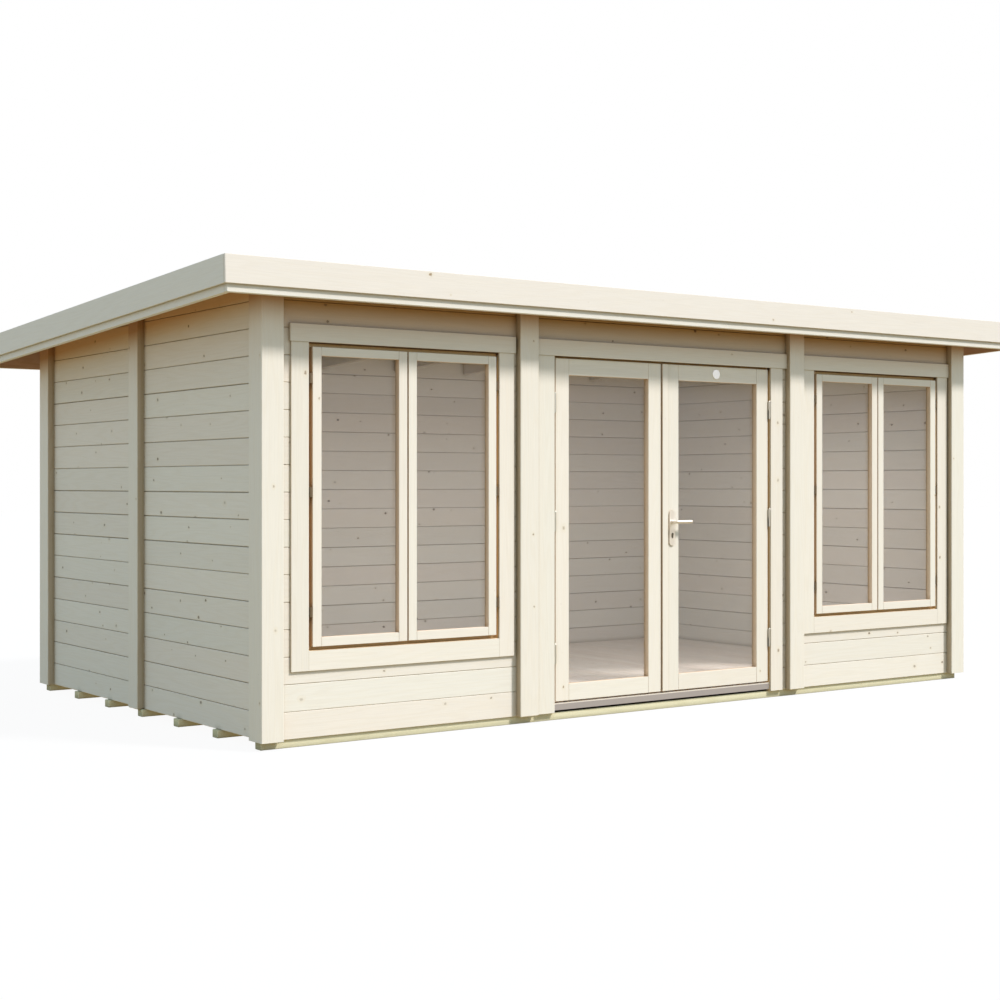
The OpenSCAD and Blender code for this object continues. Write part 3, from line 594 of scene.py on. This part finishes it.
def metal(name, code, roughness, scale=900.0, bands=None):
    """Bare or plated metal with a fine satin grain: small changes of roughness about 1 mm across.
    Of two bands of painted light, each a height and a tint, the first tints what is below it and the
    second what is above it."""
    material, tree = bare(name)
    place = add(tree, "ShaderNodeTexCoord").outputs["Object"]
    grit = add(tree, "ShaderNodeTexNoise", {"Vector": place, "Scale": scale, "Detail": 2.0}).outputs[0]
    gloss = add(tree, "ShaderNodeMapRange", {0: grit, 3: roughness - 0.08, 4: roughness + 0.08}).outputs[0]
    tint = colour(code)
    if bands:
        height = add(tree, "ShaderNodeSeparateXYZ", {0: place}).outputs[2]
        for (level, other), side in zip(bands, ("LESS_THAN", "GREATER_THAN")):
            within = add(tree, "ShaderNodeMath", {0: height, 1: level}, operation=side).outputs[0]
            tint = add(tree, "ShaderNodeMix", {0: within, 6: tint, 7: colour(other)},
                       data_type="RGBA").outputs[2]
    shader = add(tree, "ShaderNodeBsdfPrincipled", {"Base Color": tint, "Metallic": 1.0, "Roughness": gloss})
    add(tree, "ShaderNodeOutputMaterial", {"Surface": shader.outputs[0]})
    return material


# Steel plated with zinc: light grey, with a soft shine. The sashes' small hinges are drawn a darker, dull
# brown.
zinc = metal("zinc_plated_steel", "#d4d2cb", 0.42)
for node in ("left_door_hinges", "right_door_hinges", "frame_hinges"):
    finish(node, zinc)
finish("window_hinges", metal("dull_brown_steel", "#8a7a66", 0.45))


# Door
# A spruce frame with a stop all round, flat trim boards outside, a hollow
# aluminium threshold, and two glazed leaves of stiles and rails.

# The outer edge of the left trim board runs on behind the post beside it.
hinge_gap, behind_post = 0.015, 0.012
low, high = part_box("door_trim")
head = high.z - head_trim_h
left_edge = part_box("left_door_leaf")[0].x - hinge_gap
right_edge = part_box("right_door_leaf")[1].x + hinge_gap
bars = [timber((low.x, low.y, head), high, 0, trim_arris)]
for x0, x1 in ((left_edge - trim_w - behind_post, left_edge), (right_edge, right_edge + trim_w)):
    bars.append(timber((x0, high.y - trim_t, low.z), (x1, high.y, head), 2, trim_arris))
joined("door_trim_boards", bars, trim_spruce, "door_trim")

low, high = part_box("door_frame")
jamb_w = 0.034
bars = jambs(low, high, jamb_w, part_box("door_threshold")[1].z)
bars += crossbar(low, high, jamb_w, high.z - jamb_w, high.z - jamb_w - stop_w)
joined("door_frame_bars", bars, frame_spruce, "door_frame")

# The extrusion stays as it was pressed: light grey and dull. A painted highlight brightens the top of
# its rounded nose, and painted shadow darkens the open foot below it.
nose_depth, highlight_h = 0.002, 0.006
corners = np.array([v.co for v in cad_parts["door_threshold"].data.vertices])
nose = corners[corners[:, 1] < corners[:, 1].min() + nose_depth][:, 2]
finish("door_threshold", metal("mill_aluminium", "#c4c1c6", 0.5,
                               bands=((nose.min(), "#1c1a17"), (nose.max() - highlight_h, "#ffffff"))))

strip_arris = 0.0025
for side in ("left", "right"):
    leaf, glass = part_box(f"{side}_door_leaf"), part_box(f"{side}_door_glass")
    joined(f"{side}_glazed_leaf", glazed(*leaf, *glass), sash_spruce, f"{side}_door_leaf", f"{side}_door")
joined("meeting_cover_strip", [timber(*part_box("door_cover_strip"), 2, strip_arris)], sash_spruce,
       "door_cover_strip", "right_door")

# Nickel plate with a satin finish: a pale, slightly warm metal whose highlights are wide and soft.
satin = metal("satin_nickel", "#f2ede6", 0.48)
for node in ("door_handle_plates", "door_levers"):
    finish(node, satin)

# The ends of the lock cylinder under the levers, a round part with a narrow tail below it, are drawn
# in dark, dull brass: painted shade for the key slot and the shadow round the cylinder. They stand a
# hair proud of the nickel round them.
cylinder_down, barrel_r, tail_r, tail_down, hair = 0.072, 0.0080, 0.0042, 0.0198, 0.0002
plate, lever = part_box("door_handle_plates"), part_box("door_levers")
cylinder_place = ((plate[0].x + plate[1].x) / 2, plate[1].y + hair,
                  (lever[0].z + lever[1].z) / 2 - cylinder_down)
over = np.linspace(-0.7, math.pi + 0.7, 25)
under = np.linspace(math.pi, 2 * math.pi, 9)
profile = np.concatenate([barrel_r * np.stack([np.cos(over), np.sin(over)], -1),
                          tail_r * np.stack([np.cos(under), np.sin(under)], -1) - [0, tail_down]])
cylinder = carried(profile, [0, plate[1].y - plate[0].y + 2 * hair], cylinder_place, -Y, X, Z)
joined("lock_cylinder_ends", [cylinder], metal("brass_with_painted_shade", "#6c675e", 0.6), None, "right_door")

# A plain round disc of pressed aluminium, nearly white, glued on the right leaf's top rail with its edge
# rolled back. Its radius follows the height of the profile, station by station.
disc_r, disc_t = 0.030, 0.003
circle_turn = np.linspace(0, 2 * math.pi, 49)[:-1]
circle = np.stack([np.cos(circle_turn), np.sin(circle_turn)], -1)
roll = np.linspace(0, math.pi / 2, 6)
leaf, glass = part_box("right_door_leaf"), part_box("right_door_glass")
disc_place = ((leaf[0].x + leaf[1].x) / 2, leaf[0].y, (glass[1].z - groove + leaf[1].z) / 2)
disc = carried((disc_r - disc_t * (1 - np.cos(roll)))[:, None, None] * circle, disc_t * np.sin(roll),
               disc_place, -Y, X, Z)
joined("blank_disc", [disc], metal("pressed_aluminium", "#eef0f2", 0.35), None, "right_door")


# Roof
# Rafters from front to back carry tongued roof boards under mineral felt. A
# rim of boards closes the eaves, and fascia boards cover its upper part.

# Sawn rather than planed: grey-brown and rough, with strong lines, and redder out under the eaves, where
# painted shade and warm bounce light tint it.
roof_spruce = softwood("sawn_spruce_roof", "#d8cdbb", "#c4b69f", "#7d5a35", 0.7, 0.5, 0.4, 0.15,
                       glow="#e8b8a0")
# Planed, and out in the light: pale grey-cream, with a faint figure.
fascia_spruce = softwood("planed_spruce_fascia", "#efe9de", "#e6dac4", "#a38a68", 0.6, 0.09, 0.16, 0.03,
                         eaves=None)
# The sawn backs of the rim are drawn brown: painted shade and the brown light that the roof's underside
# throws on them.
rim_backs = softwood("sawn_spruce_rim_backs", "#cca78a", "#b8926f", "#7d5a35", 0.7, 0.4, 0.3, 0.08,
                     eaves=None)
rafter_h, rafter_w, rafter_count = 0.095, 0.045, 9
roof_board_w, deck_t, deck_bevel = 0.096, 0.019, 0.002
rim_t, fascia_t = 0.028, 0.015

fall = math.atan(roof_fall)
down = np.array([0, math.cos(fall), -math.sin(fall)])
square = np.array([0, math.sin(fall), math.cos(fall)])
front_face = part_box("front_wall_left")[0].y
roof_origin = np.array([0, front_face, under_deck(front_face) - rafter_h / math.cos(fall)])


def sloped(low, high, grain, radius=arris):
    """A timber in the roof's own frame, whose second axis runs down the slope from the front boards'
    face at the height of the rafters' underside."""
    bar = timber(low, high, grain, radius)
    x, y, z = bar["points"].T
    bar["points"] = roof_origin + x[:, None] * X + y[:, None] * down + z[:, None] * square
    return bar


def on_slope(node):
    """The node's lowest and highest corner in the roof's own frame."""
    points = np.array([v.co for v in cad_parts[node].data.vertices]) - roof_origin
    local = np.stack([points @ X, points @ down, points @ square], -1)
    return local.min(0), local.max(0)


def rough_backed(bar, across):
    """Marks the face of a rim board that looks at the room, which is rough and drawn brown as painted shade
    under the roof. Its corners lie further along `across` towards the room than the board's own middle."""
    middle = bar["points"].mean(0)
    way = (bar["points"][bar["quads"]] - middle) @ across * np.sign((room_middle - middle) @ across)
    return bar | {"sawn": (way.min(1) > rim_t / 3).astype(int), "sawn_ends": 0}


low, high = on_slope("rafters")
starts = np.linspace(low[0], high[0] - rafter_w, rafter_count)
joined("sawn_rafters", [sloped((x, low[1], low[2]), (x + rafter_w, high[1], high[2]), 1) for x in starts],
       roof_spruce, "rafters")

low, high = on_slope("roof_boards")
bars = []
for y in np.arange(low[1], high[1], roof_board_w):
    section = tongued_section(y, min(y + roof_board_w, high[1]) - board_gap, deck_t, deck_bevel)
    bars.append(carried(section, [low[0], high[0]], roof_origin + square * low[2], X, down, square))
joined("tongued_roof_boards", bars, roof_spruce, "roof_boards")

low, high = on_slope("rim_boards_front_back")
joined("front_and_back_rim_boards",
       [rough_backed(sloped((low[0], y, low[2]), (high[0], y + rim_t, high[2]), 0), down)
        for y in (low[1], high[1] - rim_t)], fascia_spruce, "rim_boards_front_back", end_finish=rim_backs)
low, high = on_slope("rim_boards_sides")
joined("side_rim_boards",
       [rough_backed(sloped((x, low[1], low[2]), (x + rim_t, high[1], high[2]), 1), X)
        for x in (low[0], high[0] - rim_t)], fascia_spruce, "rim_boards_sides", end_finish=rim_backs)

low, high = on_slope("fascia_sides")
fascia_h = high[2] - low[2]
joined("side_fascia_boards",
       [sloped((x, low[1], low[2]), (x + fascia_t, high[1], high[2]), 1)
        for x in (low[0], high[0] - fascia_t)], fascia_spruce, "fascia_sides")
low, high = on_slope("fascia_front_back")
joined("front_and_back_fascia_boards",
       [sloped((low[0], low[1], high[2] - fascia_h), (high[0], low[1] + fascia_t, high[2]), 0),
        sloped((low[0], high[1] - fascia_t, low[2]), (high[0], high[1], low[2] + fascia_h), 0)],
       fascia_spruce, "fascia_front_back")


def felt_strips(low, high, width=1.0, lap=0.075, ramp=0.02):
    """Strips of felt from eave to eave, laid from the low edge up. The lower edge of each strip lies
    on the strip below it: there its section steps up by one thickness."""
    thickness = (high[2] - low[2]) / 2
    strips = []
    for foot in np.arange(high[1], low[1] + lap, -width):
        head = max(foot - width - lap, low[1])
        raised = 0 if foot == high[1] else thickness
        lower = np.array([[head, 0], [foot - lap - ramp, 0], [foot - lap, raised], [foot, raised]])
        section = np.concatenate([lower, lower[::-1] + [0, thickness]]) + [0, low[2]]
        strips.append(carried(section, [low[0], high[0]], roof_origin, X, down, square))
    return strips


# Bitumen felt dressed with slate grit: dark grey, dull, and speckled by grains about 1 mm across, drawn
# at 3 mm so that they show.
felt, tree = bare("mineral_felt")
place = add(tree, "ShaderNodeTexCoord").outputs["Object"]
grit = add(tree, "ShaderNodeTexVoronoi", {"Vector": place, "Scale": 330.0}).outputs["Color"]
grit = add(tree, "ShaderNodeSeparateColor", {0: grit}).outputs[0]
worn = add(tree, "ShaderNodeTexNoise", {"Vector": place, "Scale": 2.2, "Detail": 4.0}).outputs[0]
mixed = add(tree, "ShaderNodeMath", {0: grit, 1: worn}, operation="MULTIPLY").outputs[0]
tint = add(tree, "ShaderNodeMix", {0: mixed, 6: colour("#2f3134"), 7: colour("#6a6d70")},
           data_type="RGBA").outputs[2]
bump = add(tree, "ShaderNodeBump", {"Strength": 0.6, "Distance": 0.001, "Height": grit}).outputs[0]
shader = add(tree, "ShaderNodeBsdfPrincipled", {"Base Color": tint, "Roughness": 0.9, "Normal": bump})
add(tree, "ShaderNodeOutputMaterial", {"Surface": shader.outputs[0]})
joined("lapped_felt_strips", felt_strips(*on_slope("roof_felt")), felt, "roof_felt")


# Studio
# A pale floor and backdrop, a low-contrast sun from the front right and the
# light of a plain sky. The camera stands at the front left at eye height.

floor_half = 60
floor_mesh = bpy.data.meshes.new("studio_floor")
floor_mesh.from_pydata([(-floor_half, -floor_half, 0), (floor_half, -floor_half, 0),
                        (floor_half, floor_half, 0), (-floor_half, floor_half, 0)], [], [(0, 1, 2, 3)])
studio_floor = bpy.data.objects.new("studio_floor", floor_mesh)
bpy.context.collection.objects.link(studio_floor)

# White paper, matt. The camera sees it nearly white, with the cabin's shadow on it. What it throws back
# on the cabin is the weaker and warmer light of bare ground.
paper, tree = bare("white_paper")
seen = add(tree, "ShaderNodeLightPath").outputs["Is Camera Ray"]
tint = add(tree, "ShaderNodeMix", {0: seen, 6: (0.38, 0.30, 0.16, 1), 7: (0.8, 0.8, 0.8, 1)},
           data_type="RGBA").outputs[2]
matt = add(tree, "ShaderNodeBsdfDiffuse", {"Color": tint}).outputs[0]
even = add(tree, "ShaderNodeMix", {0: seen, 6: (0.495, 0.41, 0.225, 1), 7: (1, 1, 1, 1)},
           data_type="RGBA").outputs[2]
glow = add(tree, "ShaderNodeEmission", {"Color": even, "Strength": 1.0}).outputs[0]
share = add(tree, "ShaderNodeMath", {0: seen, 1: 0.44, 2: 0.5}, operation="MULTIPLY_ADD").outputs[0]
both = add(tree, "ShaderNodeMixShader", {0: share, 1: matt, 2: glow}).outputs[0]
add(tree, "ShaderNodeOutputMaterial", {"Surface": both})
floor_mesh.materials.append(paper)

# The sky lights the cabin a little blue. The camera, gloss and glass see it white.
world = bpy.data.worlds.new("plain_sky")
bpy.context.scene.world = world
world.use_nodes = True
tree = world.node_tree
tree.nodes.clear()
path = add(tree, "ShaderNodeLightPath").outputs
straight = add(tree, "ShaderNodeMath", {0: path["Is Camera Ray"], 1: path["Is Glossy Ray"]},
               operation="MAXIMUM").outputs[0]
straight = add(tree, "ShaderNodeMath", {0: straight, 1: path["Is Transmission Ray"]},
               operation="MAXIMUM").outputs[0]
sky = add(tree, "ShaderNodeBackground", {"Color": (0.74, 1.0, 1.24, 1), "Strength": 0.585}).outputs[0]
white = add(tree, "ShaderNodeBackground", {"Color": (1, 1, 1, 1), "Strength": 1.0}).outputs[0]
both = add(tree, "ShaderNodeMixShader", {0: straight, 1: sky, 2: white}).outputs[0]
add(tree, "ShaderNodeOutputWorld", {"Surface": both})

sun_right, sun_up, sun_width = math.radians(35), math.radians(50), math.radians(8)
to_sun = Vector((math.sin(sun_right) * math.cos(sun_up), -math.cos(sun_right) * math.cos(sun_up),
                 math.sin(sun_up)))
sun = bpy.data.objects.new("sun", bpy.data.lights.new("sun", "SUN"))
sun.data.energy = 3.3
sun.data.angle = sun_width
sun.data.color = (1.0, 0.963, 0.94)
sun.rotation_mode = "QUATERNION"
sun.rotation_quaternion = to_sun.to_track_quat("Z", "Y")
bpy.context.collection.objects.link(sun)

# A large soft lamp under the roof lifts the room, whose walls show through the panes.
lamp_up, lamp_forward = 1.85, 0.5
lamp = bpy.data.objects.new("room_lamp", bpy.data.lights.new("room_lamp", "AREA"))
lamp.data.shape = "RECTANGLE"
lamp.data.size, lamp.data.size_y = 3.6, 1.2
lamp.data.energy = 26
lamp.data.color = (0.95, 0.965, 0.97)
lamp.location = (room_middle[0], room_middle[1] - lamp_forward, lamp_up)
lamp.visible_camera = lamp.visible_glossy = False
bpy.context.collection.objects.link(lamp)

camera_left = math.radians(35.57)
camera = bpy.data.objects.new("camera", bpy.data.cameras.new("camera"))
camera.location = (-6.3075, -8.718, 1.302)
camera.rotation_euler = (math.radians(90), 0, -camera_left)
camera.data.sensor_width = 36
camera.data.lens = 59.46
camera.data.shift_y = -0.01695
camera.data.clip_end = 200
bpy.context.collection.objects.link(camera)
bpy.context.scene.camera = camera
bpy.context.scene.view_settings.view_transform = "Standard"
